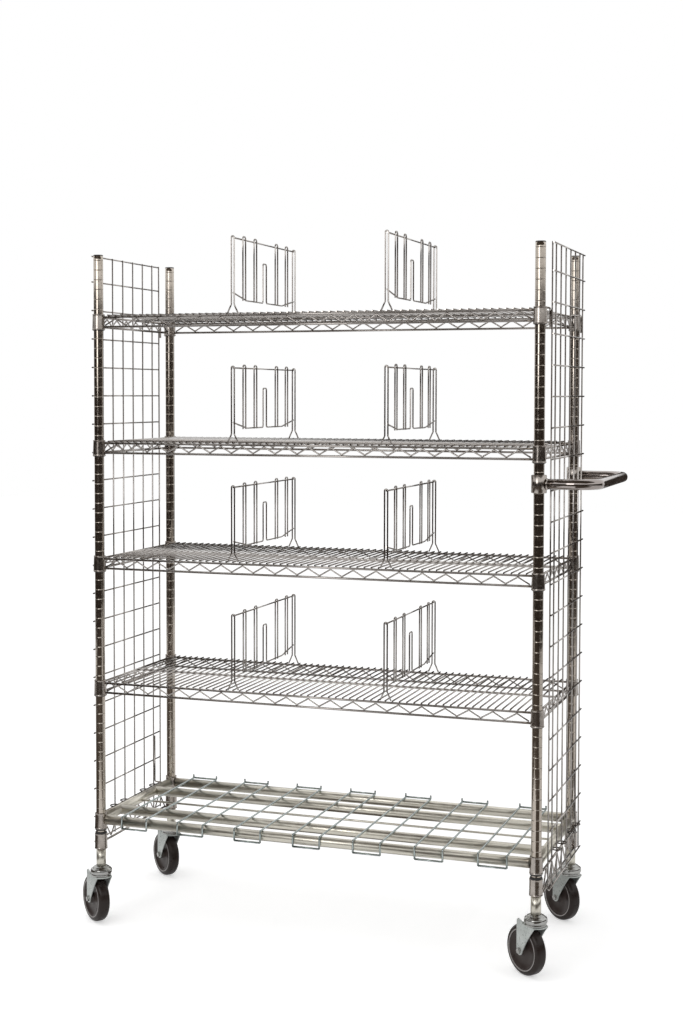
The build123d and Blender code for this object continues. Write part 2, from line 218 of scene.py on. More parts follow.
def plate(outline: Array, thickness: Array, bevel: float) -> Array:
    """Rings of a flat plate with softened edges.

    The outline is drawn in by the bevel at both faces: a point moves along the mean of its edges' normals.

    Args:
        outline: the plate's corners in a plane, anticlockwise seen from where the thickness vector points.
        thickness: vector from one face to the other.
        bevel: how far the edges are softened.

    Returns:
        Ring points, shape (1, 4, corners, 3).
    """
    depth = float(np.linalg.norm(thickness))
    axis = thickness / depth
    ahead = unit(np.roll(outline, -1, axis=0) - outline)
    small = outline + bevel * unit(np.cross(axis, ahead) + np.cross(axis, np.roll(ahead, 1, axis=0)))
    levels = [small, outline + axis * bevel, outline + axis * (depth - bevel), small + thickness]
    return np.stack(levels)[None]


@dataclass
class Skin:
    """Surfaces of rings gathered into one mesh."""

    corners: list[Array] = field(default_factory=list)
    faces: list[tuple[NDArray[np.int64], bool]] = field(default_factory=list)
    count: int = 0

    def add(self, rings: Array, ends: Ends = Ends.CAPPED, smooth: bool = True) -> "Skin":
        """Add surfaces of shape (pieces, rings, sides, 3).

        Args:
            rings: the ring points.
            ends: whether the end rings get flat faces or the last ring joins the first.
            smooth: whether the faces between rings are shaded smooth.

        Returns:
            This skin, so that calls can follow each other.
        """
        pieces, length, sides = rings.shape[:3]
        index = self.count + np.arange(pieces * length * sides).reshape(pieces, length, sides)
        here, ahead = index[:, :-1], index[:, 1:]
        if ends is Ends.JOINED:
            here, ahead = index, np.roll(index, -1, axis=1)
        quads = np.stack([here, np.roll(here, -1, 2), np.roll(ahead, -1, 2), ahead], axis=-1)
        self.faces.append((quads.reshape(-1, 4), smooth))
        if ends is Ends.CAPPED:
            self.faces += [(index[:, 0, ::-1], False), (index[:, -1], False)]
        self.corners.append(rings.reshape(-1, 3))
        self.count += pieces * length * sides
        return self

    def wires(self, paths: Array, normal: Array, radius: float, sides: int = WIRE_SIDES) -> "Skin":
        """Add round wires along paths that lie in planes with one normal."""
        return self.add(round_wire(paths, normal, radius, sides))

    def mesh(self, name: str) -> bpy.types.Mesh:
        """Put the gathered surfaces into a mesh.

        Args:
            name: the mesh's name.

        Returns:
            The mesh.
        """
        corners = np.concatenate([face.ravel() for face, _ in self.faces])
        sizes = np.concatenate([np.full(len(face), face.shape[1]) for face, _ in self.faces])
        smooth = np.concatenate([np.full(len(face), flag) for face, flag in self.faces])
        mesh = bpy.data.meshes.new(name)
        mesh.vertices.add(self.count)
        mesh.vertices.foreach_set("co", np.concatenate(self.corners).ravel())
        mesh.loops.add(len(corners))
        mesh.loops.foreach_set("vertex_index", corners.astype(np.int32))
        mesh.polygons.add(len(sizes))
        mesh.polygons.foreach_set("loop_start", (np.cumsum(sizes) - sizes).astype(np.int32))
        mesh.polygons.foreach_set("use_smooth", smooth)
        mesh.update(calc_edges=True)
        mesh.validate()
        return mesh


# Finishes


@dataclass
class Recipe:
    """The nodes of a material or of the surround while they are put together."""

    owner: "bpy.types.Material | bpy.types.World"

    def __post_init__(self) -> None:
        """Start from the shader that comes with the owner."""
        self.owner.use_nodes = True
        self.tree = self.owner.node_tree
        self.shader = next(node for node in self.tree.nodes if node.type in ("BSDF_PRINCIPLED", "BACKGROUND"))

    def fill(self, node: bpy.types.Node, values: "dict[str | int, object]") -> bpy.types.Node:
        """Set a node's options and sockets.

        Args:
            node: the node.
            values: what each gets, by the option's name or the socket's name or number. A socket is linked.

        Returns:
            The same node.
        """
        for key, value in values.items():
            if isinstance(key, str) and hasattr(node, key):
                setattr(node, key, value)
            elif isinstance(value, Socket):
                self.tree.links.new(value, node.inputs[key])
            else:
                node.inputs[key].default_value = value
        return node

    def node(self, kind: str, values: "dict[str | int, object]", output: str | int) -> Socket:
        """What comes out of a new node with its options and sockets set."""
        return self.fill(self.tree.nodes.new(f"ShaderNode{kind}"), values).outputs[output]

    def ray(self, kind: str) -> Socket:
        """One where the ray is of a kind, zero elsewhere."""
        return self.node("LightPath", {}, f"Is {kind} Ray")

    def maths(self, operation: str, *terms: "Socket | float") -> Socket:
        """A sum, a product or the like of the terms, in order."""
        return self.node("Math", {"operation": operation, **dict(enumerate(terms))}, 0)

    def noise(self, scale: Triple, detail: float) -> Socket:
        """Noise on Object coordinates, stretched by a scale for each axis and with a number of octaves."""
        place = {"Vector": self.node("TexCoord", {}, "Object"), "Scale": scale}
        return self.node("TexNoise", {"Vector": self.node("Mapping", place, "Vector"), "Scale": 1.0,
                                      "Detail": detail, "Roughness": 0.55}, "Fac")

    def spread(self, source: Socket, low: float, high: float, span: Pair = (0.3, 0.7)) -> Socket:
        """A span, such as the middle of a noise's range, mapped onto low to high."""
        values = {"Value": source, "From Min": span[0], "From Max": span[1], "To Min": low, "To Max": high}
        return self.node("MapRange", values, "Result")

    def clouds(self, scale: float, detail: float, dark: Triple, light: Triple) -> Socket:
        """Two colours mixed in clouds of a given scale and number of octaves."""
        share = self.spread(self.noise((scale,) * 3, detail), 0.0, 1.0)
        return self.node("Mix", {"data_type": "RGBA", 0: share, 6: (*dark, 1.0), 7: (*light, 1.0)}, 2)


@dataclass(frozen=True)
class Finish:
    """Two tones in clouds, gloss in smears and a fine grain. As it stands it is plating over steel."""

    name: str
    slot: str
    light: Triple
    dark: Triple
    gloss: Pair
    cloud_scale: float = 9.0
    cloud_detail: float = 5.0
    smears_per_cloud: float = 6.0
    smear_detail: float = 4.0
    grain_scale: Triple = (900.0, 900.0, 12.0)
    grain_detail: float = 2.0
    grain_height: float = 0.000004
    metal: float = 1.0
    specular: float = 0.5

    def material(self) -> bpy.types.Material:
        """The finish as nodes.

        Returns:
            A material with its colour from clouds, its roughness from smears and its relief from the grain.
        """
        recipe = Recipe(bpy.data.materials.new(self.name))
        smears = recipe.noise((self.cloud_scale * self.smears_per_cloud,) * 3, self.smear_detail)
        grain = recipe.noise(self.grain_scale, self.grain_detail)
        relief = {"Strength": 1.0, "Distance": self.grain_height, "Height": grain}
        recipe.fill(recipe.shader, {
            "Metallic": self.metal, "Specular IOR Level": self.specular,
            "Base Color": recipe.clouds(self.cloud_scale, self.cloud_detail, self.dark, self.light),
            "Roughness": recipe.spread(smears, *self.gloss), "Normal": recipe.node("Bump", relief, "Normal")})
        return recipe.owner


@dataclass(frozen=True)
class MouldedFinish(Finish):
    """Rubber or plastic: worn patches, lighter and duller, over a fine moulded grain."""

    cloud_scale: float = 40.0
    cloud_detail: float = 6.0
    smears_per_cloud: float = 1.0
    smear_detail: float = 6.0
    grain_scale: Triple = (1400.0, 1400.0, 1400.0)
    grain_height: float = 0.00003
    metal: float = 0.0


EVEN_GRAIN = (700.0, 700.0, 700.0)
POST_CHROME = Finish("post_chrome", "plated_post", (0.58, 0.52, 0.46), (0.45, 0.40, 0.34), (0.06, 0.16))
WIRE_CHROME = Finish("wire_chrome", "plated_wire", (0.57, 0.54, 0.51), (0.41, 0.38, 0.36), (0.08, 0.20),
                     grain_scale=EVEN_GRAIN)
COLLAR_CHROME = Finish("collar_chrome", "plated_collar", (0.52, 0.48, 0.44), (0.34, 0.30, 0.27), (0.12, 0.26),
                       cloud_scale=30.0, grain_scale=(500.0, 500.0, 500.0))
# Painted dark reflection: plating like the posts', given darker tones to stand in for the dark surroundings
# that the handle reflects.
HANDLE_CHROME_PAINTED_DARK = Finish("handle_chrome_painted_dark", "plated_post", (0.42, 0.38, 0.36), (0.34, 0.30, 0.28), (0.06, 0.14),
                       grain_scale=(700.0, 12.0, 700.0))
BRIGHT_ZINC = Finish("bright_zinc", "plated_post", (0.80, 0.77, 0.68), (0.68, 0.65, 0.57), (0.28, 0.40),
                     grain_scale=(14.0, 900.0, 900.0))
# Painted dark reflection: plated wire given dark tones, standing in for the dark surroundings that the panel
# eyes reflect.
WIRE_CHROME_PAINTED_DARK = Finish("wire_chrome_painted_dark", "plated_wire", (0.16, 0.14, 0.13), (0.09, 0.08, 0.07), (0.14, 0.28),
                   grain_scale=EVEN_GRAIN)
HOOP_ZINC = Finish("hoop_zinc", "plated_wire", (0.50, 0.55, 0.54), (0.34, 0.39, 0.38), (0.12, 0.26),
                   grain_scale=EVEN_GRAIN)
CASTOR_ZINC = Finish("castor_zinc", "zinc_castor", (0.60, 0.63, 0.61), (0.46, 0.49, 0.47), (0.24, 0.40),
                     cloud_scale=35.0, grain_scale=(350.0, 350.0, 350.0), metal=0.45)
BEARING_ZINC = Finish("bearing_zinc", "zinc_castor", (0.50, 0.50, 0.48), (0.36, 0.36, 0.35), (0.08, 0.18),
                      cloud_scale=30.0, grain_scale=(60.0, 60.0, 1800.0))
TYRE_RUBBER = MouldedFinish("tyre_rubber", "grey_rubber", (0.028, 0.020, 0.017), (0.018, 0.012, 0.010),
                            (0.24, 0.36), specular=0.28)
HUB_PLASTIC = MouldedFinish("hub_plastic", "hub_plastic", (0.048, 0.036, 0.032), (0.034, 0.024, 0.021),
                            (0.26, 0.38), specular=0.28)
RING_PLASTIC = MouldedFinish("ring_plastic", "hub_plastic", (0.38, 0.36, 0.35), (0.30, 0.28, 0.27),
                             (0.35, 0.5))
BLACK_PLASTIC = MouldedFinish("black_plastic", "black_plastic", (0.035, 0.034, 0.034), (0.020, 0.020, 0.021),
                              (0.42, 0.56))


def in_scene(name: str, data: bpy.types.ID) -> bpy.types.Object:
    """A new object in the scene.

    Args:
        name: its name.
        data: its mesh, lamp or camera.

    Returns:
        The object.
    """
    made = bpy.data.objects.new(name, data)
    bpy.context.scene.collection.objects.link(made)
    return made


@dataclass
class Workshop:
    """Makes materials once and turns skins into pieces that ride on a body."""

    materials: dict[str, bpy.types.Material] = field(default_factory=dict)

    def piece(self, name: str, skin: Skin, finish: Finish, body: str = FRAME_BODY,
              stands_for: tuple[str, ...] = ()) -> None:
        """Turn a skin into a finished piece.

        Args:
            name: the piece's name.
            skin: its surfaces, in place.
            finish: what it is finished in.
            body: the body it rides on.
            stands_for: the CAD nodes it replaces.
        """
        if finish.name not in self.materials:
            self.materials[finish.name] = finish.material()
        mesh = skin.mesh(name)
        mesh.materials.append(self.materials[finish.name])
        made = in_scene(name, mesh)
        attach(made, body)
        if stands_for:
            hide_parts(*stands_for)
        log.info("%s: %d faces on %s", name, len(mesh.polygons), body)


def node_box(node: str) -> Array:
    """Lowest and highest corner of a CAD node, as the rows of an array."""
    return np.array(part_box(node))


@dataclass
class Layout:
    """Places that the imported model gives: the posts, the shelf tops and the level of the base tubes."""

    def __post_init__(self) -> None:
        """Read the boxes of the nodes."""
        self.posts = {corner: sum(node_box(f"post_{corner.label}")) / 2 * [1, 1, 0] for corner in Corner}
        low, high = node_box("post_front_left")
        self.post_bottom, self.post_top = low[2], high[2]
        self.post_radius = (high[0] - low[0]) / 2
        self.middle = sum(self.posts.values()) / 4
        self.half_x, self.half_y, _ = (self.posts[Corner.REAR_RIGHT] - self.posts[Corner.FRONT_LEFT]) / 2
        self.shelf_tops = {number: node_box(f"shelf_{number}_collars")[1][2] for number in SHELF_NUMBERS}
        self.tube_height = sum(node_box("base_tubes"))[2] / 2

    def at(self, x: ArrayLike, y: ArrayLike, z: ArrayLike) -> Array:
        """Places given from the point on the floor between the posts."""
        return self.middle + points(x, y, z)


# Sub-assemblies


@dataclass
class SubAssembly:
    """What every sub-assembly has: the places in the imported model, and the workshop that makes its pieces."""

    layout: Layout
    shop: Workshop

    def dress(self, node: str, form: str, skin: Skin, finish: Finish, body: str = FRAME_BODY) -> None:
        """Make the piece that replaces a CAD node, named after the node and its own form."""
        self.shop.piece(f"{node}_{form}", skin, finish, body, (node,))


@dataclass
class PostSet(SubAssembly):
    """Four tube posts with a groove every inch, a smooth zinc foot and a moulded cap.

    The foot's and the cap's rows are given from the post's radius, and from the foot's bottom or the cap's top.
    """

    groove_pitch: float = 0.0254
    groove_range: tuple[int, int] = (-80, 12)
    groove_depth: float = 0.0003
    groove_half_width: float = 0.0008
    groove_shares: tuple[float, ...] = (-1.6, -1.0, -0.5, 0.0, 0.5, 1.0, 1.6)
    foot_clearance: float = 0.05
    top_clearance: float = 0.008
    foot: Profile = ((-0.001, 0.0), (0.0, 0.001), (0.0, 0.046))
    cap: Profile = ((-0.0004, -0.003), (0.0, -0.0024), (0.0, -0.0014), (-0.001, -0.0004), (-0.00508, 0.0))

    def profile(self) -> Array:
        """Radius and height from foot to top.

        Each groove is a dip of the groove's depth times one minus the square of the distance from its middle
        over its half width. The grooves are counted from the one under the top shelf's level.

        Returns:
            Rows of radius and height.
        """
        bottom, top = self.layout.post_bottom + self.foot[-1][1], self.layout.post_top
        first = self.layout.shelf_tops[SHELF_NUMBERS[-1]] - self.groove_pitch / 2
        middles = first + self.groove_pitch * np.arange(*self.groove_range)
        middles = middles[(middles > bottom + self.foot_clearance) & (middles < top - self.top_clearance)]
        share = np.array(self.groove_shares)
        heights = (middles[:, None] + share * self.groove_half_width).ravel()
        dips = np.tile(self.groove_depth * np.maximum(1 - share ** 2, 0), len(middles))
        heights = np.hstack([bottom, heights, top])
        return np.stack([self.layout.post_radius - np.pad(dips, 1), heights], axis=1)

    def build(self) -> None:
        """Make the posts, their feet and caps."""
        radius = self.layout.post_radius
        post = lathe(self.profile(), POST_SIDES)
        foot = lathe(self.foot, POST_SIDES, (radius, self.layout.post_bottom))
        cap = lathe(self.cap, POST_SIDES, (radius, node_box("post_caps")[1][2]))
        caps = Skin()
        for corner, place in self.layout.posts.items():
            node = f"post_{corner.label}"
            self.dress(node, "grooved", Skin().add(post + place), POST_CHROME)
            self.shop.piece(f"{node}_foot", Skin().add(foot + place), BRIGHT_ZINC)
            caps.add(cap + place)
        self.dress("post_caps", "moulded", caps, BLACK_PLASTIC)


@dataclass
class CollarSet(SubAssembly):
    """Tapered collars welded to the shelf corners, each over a split plastic sleeve on its post."""

    node: str
    top_radius: float = 0.0162
    bottom_radius: float = 0.0172
    lip: float = 0.0007
    rolled_edge: Profile = ((-1, 0), (-0.3, 0.3), (0, 1), (0, 3), (-0.7, 3.8), (-1, 5), (-1, 6))
    collar_gap: float = 0.0006
    sleeve_gap: float = 0.0001
    sleeve_wall: float = 0.0025
    sleeve_show: float = 0.0015
    shows_below: bool = True

    def shell(self, height: float) -> Array:
        """Outer wall with a rolled edge at each end, and the inner wall back down to the start.

        A rolled edge is given from its end of the collar inwards, in lips. Its last row follows the taper.

        Args:
            height: the collar's height.

        Returns:
            Rows of radius and height.
        """
        inner = self.layout.post_radius + self.collar_gap
        edge = self.lip * np.array(self.rolled_edge)
        foot, head = edge + [self.bottom_radius, 0], edge[::-1] * [1, -1] + [self.top_radius, height]
        fall = (self.bottom_radius - self.top_radius) * self.lip / height
        foot[-1, 0] -= fall
        head[0, 0] += fall
        return np.vstack([[[inner, 0]], foot, head, [[inner, height]]])

    def build(self) -> None:
        """Make the four collars, and their sleeves that stand a little out of one end."""
        low, high = node_box(self.node)
        height = high[2] - low[2]
        inner, outer = self.layout.post_radius + np.array([self.sleeve_gap, self.sleeve_wall])
        start = -self.sleeve_show if self.shows_below else height
        shell = lathe(self.shell(height), TUBE_SIDES)
        sleeve = lathe(band(inner, outer, start, start + self.sleeve_show, self.lip / 2), TUBE_SIDES)
        collars, sleeves = Skin(), Skin()
        for place in self.layout.posts.values():
            seat = place + Z_AXIS * low[2]
            collars.add(shell + seat, Ends.JOINED)
            sleeves.add(sleeve + seat, Ends.JOINED, smooth=False)
        self.dress(self.node, "tapered", collars, COLLAR_CHROME)
        self.shop.piece(f"{self.node}_sleeves", sleeves, BLACK_PLASTIC)


@dataclass
class Truss:
    """Two round rims with a zigzag brace between them, welded between two collars."""

    low: float
    high: float
    pitch: float
    rim_radius: float = 0.003
    brace_radius: float = 0.002
    brace_seat: float = 0.6
    brace_bend: Bend = (0.003, 4)
    collar_reach: float = 0.0160

    def brace(self, middle: Array, run: Array, reach: float) -> Array:
        """Path of the brace: its corners alternate between the rims, a whole number of waves along it.

        Args:
            middle: the truss's middle on the floor.
            run: unit vector along the truss.
            reach: half the brace's length.

        Returns:
            The rounded path.
        """
        lift = self.rim_radius + self.brace_radius * self.brace_seat
        waves = max(1, round(2 * reach / self.pitch))
        place = np.arange(2 * waves + 1)[:, None]
        start = middle - run * reach + Z_AXIS * (self.low + lift)
        rise = Z_AXIS * (self.high - self.low - 2 * lift)
        return rounded(start + run * place * reach / waves + rise * (place % 2), *self.brace_bend)

    def add(self, skin: Skin, middle: Array, run: Array, reach: float) -> None:
        """Add one truss.

        Args:
            skin: what the surfaces go into.
            middle: the truss's middle on the floor.
            run: unit vector along it.
            reach: half its length between the collars.
        """
        normal = np.cross(run, Z_AXIS)
        starts = middle - run * reach + points(0, 0, [self.low, self.high])
        skin.wires(straight(starts, starts + 2 * run * reach), normal, self.rim_radius, ROD_SIDES)
        brace = self.brace(middle, run, reach - 2 * self.brace_radius)
        skin.wires(brace, normal, self.brace_radius, THIN_SIDES)


@dataclass
class WireShelf(SubAssembly):
    """A deck of cross wires on a stringer, with a truss along each side."""

    number: int
    deck_wire: float = 0.004
    deck_pitch: float = 0.0186
    deck_count: int = 61
    rim_drop: float = 0.008
    truss_depth: float = 0.0254
    truss_pitch: float = 0.059
    stringer_radius: float = 0.003

    def deck(self) -> Skin:
        """Cross wires at an even pitch over the rims, and the stringer under their middles.

        Returns:
            The wires.
        """
        low, high = node_box(f"shelf_{self.number}_deck")
        radius = self.deck_wire / 2
        x = self.layout.middle[0] + spaced(self.deck_count, self.deck_pitch)
        wires = straight(points(x, low[1], high[2] - radius), points(x, high[1], high[2] - radius))
        under = high[2] - self.deck_wire - self.stringer_radius
        line = points([low[0], high[0]], self.layout.middle[1], under)
        skin = Skin().wires(wires, X_AXIS, radius, THIN_SIDES)
        return skin.wires(line, Y_AXIS, self.stringer_radius, ROD_SIDES)

    def trusses(self) -> Skin:
        """The front, rear, left and right trusses.

        Returns:
            Their wires.
        """
        high = self.layout.shelf_tops[self.number] - self.rim_drop
        truss = Truss(high - self.truss_depth, high, self.truss_pitch)
        half_x, half_y = self.layout.half_x, self.layout.half_y
        skin = Skin()
        for sign in (-1, 1):
            truss.add(skin, self.layout.at(0, sign * half_y, 0), X_AXIS, half_x - truss.collar_reach)
            truss.add(skin, self.layout.at(sign * half_x, 0, 0), Y_AXIS, half_y - truss.collar_reach)
        return skin

    def build(self) -> None:
        """Make the shelf."""
        node = f"shelf_{self.number}"
        self.dress(f"{node}_deck", "wires", self.deck(), WIRE_CHROME)
        self.shop.piece(f"{node}_truss_wires", self.trusses(), WIRE_CHROME, stands_for=(f"{node}_trusses",))
        CollarSet(self.layout, self.shop, f"{node}_collars").build()


@dataclass
class Divider(SubAssembly):
    """A lift-off divider: hairpin uprights on the rims, two rails, a centre pin and four full hairpins."""

    number: int
    side: Side
    wire: float = 0.004
    step: int = 11
    height: float = 0.196
    foot_spread: float = 0.014
    foot_height: float = 0.022
    foot_bend: Bend = (0.008, 3)
    arch_bend: Bend = (0.00392, 8)
    low_rail: float = 0.041
    rail_kink: float = 0.127
    rail_end_rise: float = 0.016
    half_pin: float = 0.012
    pin_top: float = 0.145
    pin_bend: Bend = (0.006, 5)
    half_hairpin: float = 0.009
    hairpin_shares: Pair = (0.35, 0.7)
    hairpin_bend: Bend = (0.007, 6)

    def __post_init__(self) -> None:
        """Work out the levels that the wires share."""
        self.node = f"divider_{self.number}_{self.side.label}"
        self.rim = self.layout.shelf_tops[self.number] - WireShelf.rim_drop
        self.low, self.rail = self.rim + self.low_rail, self.rim + self.height
        self.end = self.layout.half_y - self.wire / 2

    def upright(self) -> Array:
        """The hairpin that stands on a rim, with spread feet, close legs and an arch over the rail.

        Returns:
            Its path from foot to foot, in the plane y = 0.
        """
        foot = node_box(self.node)[0][2] + self.wire / 2
        leg = points([-self.foot_spread, -self.wire, -self.wire], 0,
                     [foot, foot + self.foot_height, self.rail + self.wire])
        whole = np.vstack([leg, leg[::-1] * [-1, 1, 1]])
        arch = rounded(whole[1:5], *self.arch_bend)[1:-1]
        return np.vstack([rounded(whole[:3], *self.foot_bend)[:-1], arch,
                          rounded(whole[3:], *self.foot_bend)[1:]])

    def centre(self) -> Array:
        """Path of the low rail and the centre pin, bent from one wire in the plane x = 0."""
        half = points(0, [-self.end, -self.rail_kink, -self.half_pin, -self.half_pin],
                      [self.low + self.rail_end_rise, self.low, self.low, self.rim + self.pin_top])
        return rounded(np.vstack([half, half[::-1] * [1, -1, 1]]), *self.pin_bend)

    def hairpin(self) -> Array:
        """Path of a full hairpin, from the low rail over the top rail and down again."""
        half, foot, top = self.half_hairpin, self.low - self.wire / 2, self.rail + 2 * self.wire
        path = points(self.wire, [-half, -half, half, half], [foot, top, top, foot])
        return rounded(path, *self.hairpin_bend)

    def build(self) -> None:
        """Make the divider, each of its wires in its own plane."""
        x, radius, at = self.side.value * self.step * WireShelf.deck_pitch, self.wire / 2, self.layout.at
        rim_y = np.array([-self.layout.half_y, self.layout.half_y])
        pin_y = np.outer(self.hairpin_shares, [-self.end, self.end]).ravel()
        skin = Skin().wires(self.upright() + at(x, rim_y, 0)[:, None], Y_AXIS, radius)
        skin.wires(at(x, [-self.end, self.end], self.rail), X_AXIS, radius)
        skin.wires(self.centre() + at(x, 0, 0), X_AXIS, radius)
        skin.wires(self.hairpin() + at(x, pin_y, 0)[:, None], X_AXIS, radius)
        self.dress(self.node, "wires", skin, WIRE_CHROME, self.node)


@dataclass
class BaseShelf(SubAssembly):
    """The base shelf: tubes between collars, wire hoops over them and a braced rail under each end."""

    inner_share: float = 0.5
    collar_seat: float = 0.0006
    inner_seat_share: float = 0.5
    rod_radius: float = 0.003
    hoop_count: int = 7
    hoop_pitch: float = 0.1605
    hoop_width: float = 0.0715
    hoop_wire: float = 0.005
    hoop_bend: Bend = (0.004, 5)
    hoop_upturn: float = 0.010
    hoop_overhang: float = 0.008
    rear_bar_rise: float = 0.001
    brace_offset: float = 0.014
    brace_pitch: float = 0.073
    sleeve_show: float = 0.0042
    foot_collar_top: float = 0.0170

    def tubes(self) -> Skin:
        """Long tubes, side tubes and the tie rod, each with its ends in what it is welded to.

        Returns:
            The tubes and the rod.
        """
        half_x, half_y, radius = self.layout.half_x, self.layout.half_y, self.layout.post_radius
        z, at = self.layout.tube_height, self.layout.at
        reach, depth = (half - CollarSet.bottom_radius + self.collar_seat for half in (half_x, half_y))
        inner_x, inner_y = half_x - radius * self.inner_seat_share, half_y * self.inner_share
        x, y = np.array([reach, reach, inner_x, inner_x]), np.array([-half_y, half_y, -inner_y, inner_y])
        skin = Skin().wires(straight(at(-x, y, z), at(x, y, z)), Z_AXIS, radius, TUBE_SIDES)
        x = np.array([-half_x, half_x])
        skin.wires(straight(at(x, -depth, z), at(x, depth, z)), Z_AXIS, radius, TUBE_SIDES)
        return skin.wires(at([-inner_x, inner_x], 0, z), Z_AXIS, self.rod_radius, ROD_SIDES)

    def hoops(self) -> Skin:
        """Each hoop: two side wires hooked over the front tube and turned up at the rear, and two cross bars.

        Returns:
            The wires of all hoops.
        """
        radius, z, at = self.hoop_wire / 2, self.layout.tube_height, self.layout.at
        front = -self.layout.half_y - self.layout.post_radius - radius
        rear = self.layout.half_y + self.hoop_overhang
        top, low = z + self.layout.post_radius + radius, z - self.layout.post_radius - radius
        side = points(0, [front, front, rear, rear], [low, top, top, top + self.hoop_upturn])
        x = spaced(self.hoop_count, self.hoop_pitch)[:, None] + np.array([-0.5, 0.5]) * self.hoop_width
        skin = Skin().wires(rounded(side, *self.hoop_bend) + at(x.ravel(), 0, 0)[:, None], X_AXIS, radius)
        for y, height in ((front, low), (rear, top + self.rear_bar_rise)):
            starts = at(x[:, 0], y, height)
            skin.wires(straight(starts, starts + X_AXIS * self.hoop_width), Y_AXIS, radius)
        return skin

    def end_braces(self) -> Skin:
        """A truss outside each pair of foot collars.

        Returns:
            The wires of both.
        """
        low, high = node_box("base_end_braces")
        truss = Truss(low[2] + Truss.rim_radius, high[2] - Truss.rim_radius, self.brace_pitch)
        skin = Skin()
        for sign in (-1, 1):
            side = self.layout.at(sign * (self.layout.half_x + self.brace_offset), 0, 0)
            truss.add(skin, side, Y_AXIS, (high[1] - low[1]) / 2)
        return skin

    def build(self) -> None:
        """Make the base shelf."""
        self.dress("base_tubes", "round", self.tubes(), BRIGHT_ZINC)
        self.dress("base_hoops", "wires", self.hoops(), HOOP_ZINC)
        self.dress("base_end_braces", "wires", self.end_braces(), WIRE_CHROME)
        CollarSet(self.layout, self.shop, "base_collars", sleeve_show=self.sleeve_show).build()
        CollarSet(self.layout, self.shop, "foot_collars", top_radius=self.foot_collar_top,
                  sleeve_show=self.sleeve_show, shows_below=False).build()


@dataclass
class EndPanel(SubAssembly):
    """A mesh end panel and its two hooks over the top shelf's side rim."""

    side: Side
    wire: float = 0.004
    row_pitch: float = 0.075
    row_count: int = 20
    end_row: float = 0.067
    columns: tuple[float, ...] = (0.0305, 0.0915, 0.1525, 0.197)
    hook_wire: float = 0.005
    hook_lip: float = 0.012
    hook_bend: Bend = (0.005, 5)

    def mesh_wires(self) -> Skin:
        """Upright wires in mirrored pairs, and cross wires welded on their outer faces.

        Returns:
            Both sets of wires.
        """
        low, high = node_box(f"panel_{self.side.label}")
        radius = self.wire / 2
        middle, shift = (low[0] + high[0]) / 2, self.side.value * (high[0] - low[0]) / 4
        y = self.layout.middle[1] + np.outer([-1, 1], self.columns).ravel()
        starts = points(middle - shift, y, low[2])
        skin = Skin().wires(straight(starts, starts + Z_AXIS * (high[2] - low[2])), X_AXIS, radius)
        first = low[2] + radius
        inner = first + self.end_row + self.row_pitch * np.arange(self.row_count)
        starts = points(middle + shift, low[1], np.hstack([first, inner, high[2] - radius]))
        return skin.wires(straight(starts, starts + Y_AXIS * (high[1] - low[1])), X_AXIS, radius)

    def hooks(self) -> Skin:
        """Two flat hooks over the top shelf's side rim, each welded to an upright wire.

        Returns:
            The hooks.
        """
        low, high = node_box(f"panel_hooks_{self.side.label}")
        radius = self.hook_wire / 2
        inner, outer = (low[0] + radius, high[0] - radius)[::self.side.value]
        arch = high[2] - radius
        path = points([outer, outer, inner, inner], 0, [low[2], arch, arch, arch - self.hook_lip])
        places = points(0, [low[1] + radius, high[1] - radius], 0)
        return Skin().wires(rounded(path, *self.hook_bend) + places[:, None], Y_AXIS, radius)

    def build(self) -> None:
        """Make the panel and its hooks."""
        self.dress(f"panel_{self.side.label}", "mesh", self.mesh_wires(), WIRE_CHROME)
        self.dress(f"panel_hooks_{self.side.label}", "wires", self.hooks(), WIRE_CHROME)


@dataclass
class PanelAnchors(SubAssembly):
    """The bent wires that hold the panels' feet on the base shelf, and flat eyes round the upright wires."""

    wire: float = 0.004
    bend: Bend = (0.005, 5)
    eye_reach: float = 0.0245
    eye_radius: float = 0.0120
    eye_wire: float = 0.0018
    eye_places: tuple[float, ...] = (-0.0915, -0.0305, 0.0915, 0.1525)

    def eyes(self) -> Skin:
        """Flat rings of plated wire on the sides of the side tubes, each round an upright wire of a panel,
        darkened as a painted dark reflection.

        A ring's section is the circle (eye radius + wire * cos a, wire * sin a).

        Returns:
            The rings on both sides.
        """
        section = self.eye_wire * arc(0, 2 * np.pi, THIN_SIDES + 1)[:-1] + [self.eye_radius, 0]
        height = self.layout.tube_height + self.wire / 2 + self.eye_wire
        skin = Skin()
        for side in Side:
            x = side.value * (self.layout.half_x + self.eye_reach)
            for y in self.eye_places:
                skin.add(lathe(section, BOLT_SIDES) + self.layout.at(x, y, height), Ends.JOINED)
        return skin

    def build(self) -> None:
        """Make both anchors and the eyes."""
        low, high = node_box("panel_anchors")
        radius = self.wire / 2
        bottom = low[2] + radius
        skin = Skin()
        for sign, out in ((-1, low[0] + radius), (1, high[0] - radius)):
            inner = self.layout.middle[0] + sign * self.layout.half_x
            path = points([inner, out, out], (low[1] + high[1]) / 2, [bottom, bottom, high[2]])
            skin.wires(rounded(path, *self.bend), Y_AXIS, radius)
        self.dress("panel_anchors", "wires", skin, WIRE_CHROME)
        # The eyes' plating is darkened: a painted dark reflection.
        self.shop.piece("panel_anchor_eyes", self.eyes(), WIRE_CHROME_PAINTED_DARK)


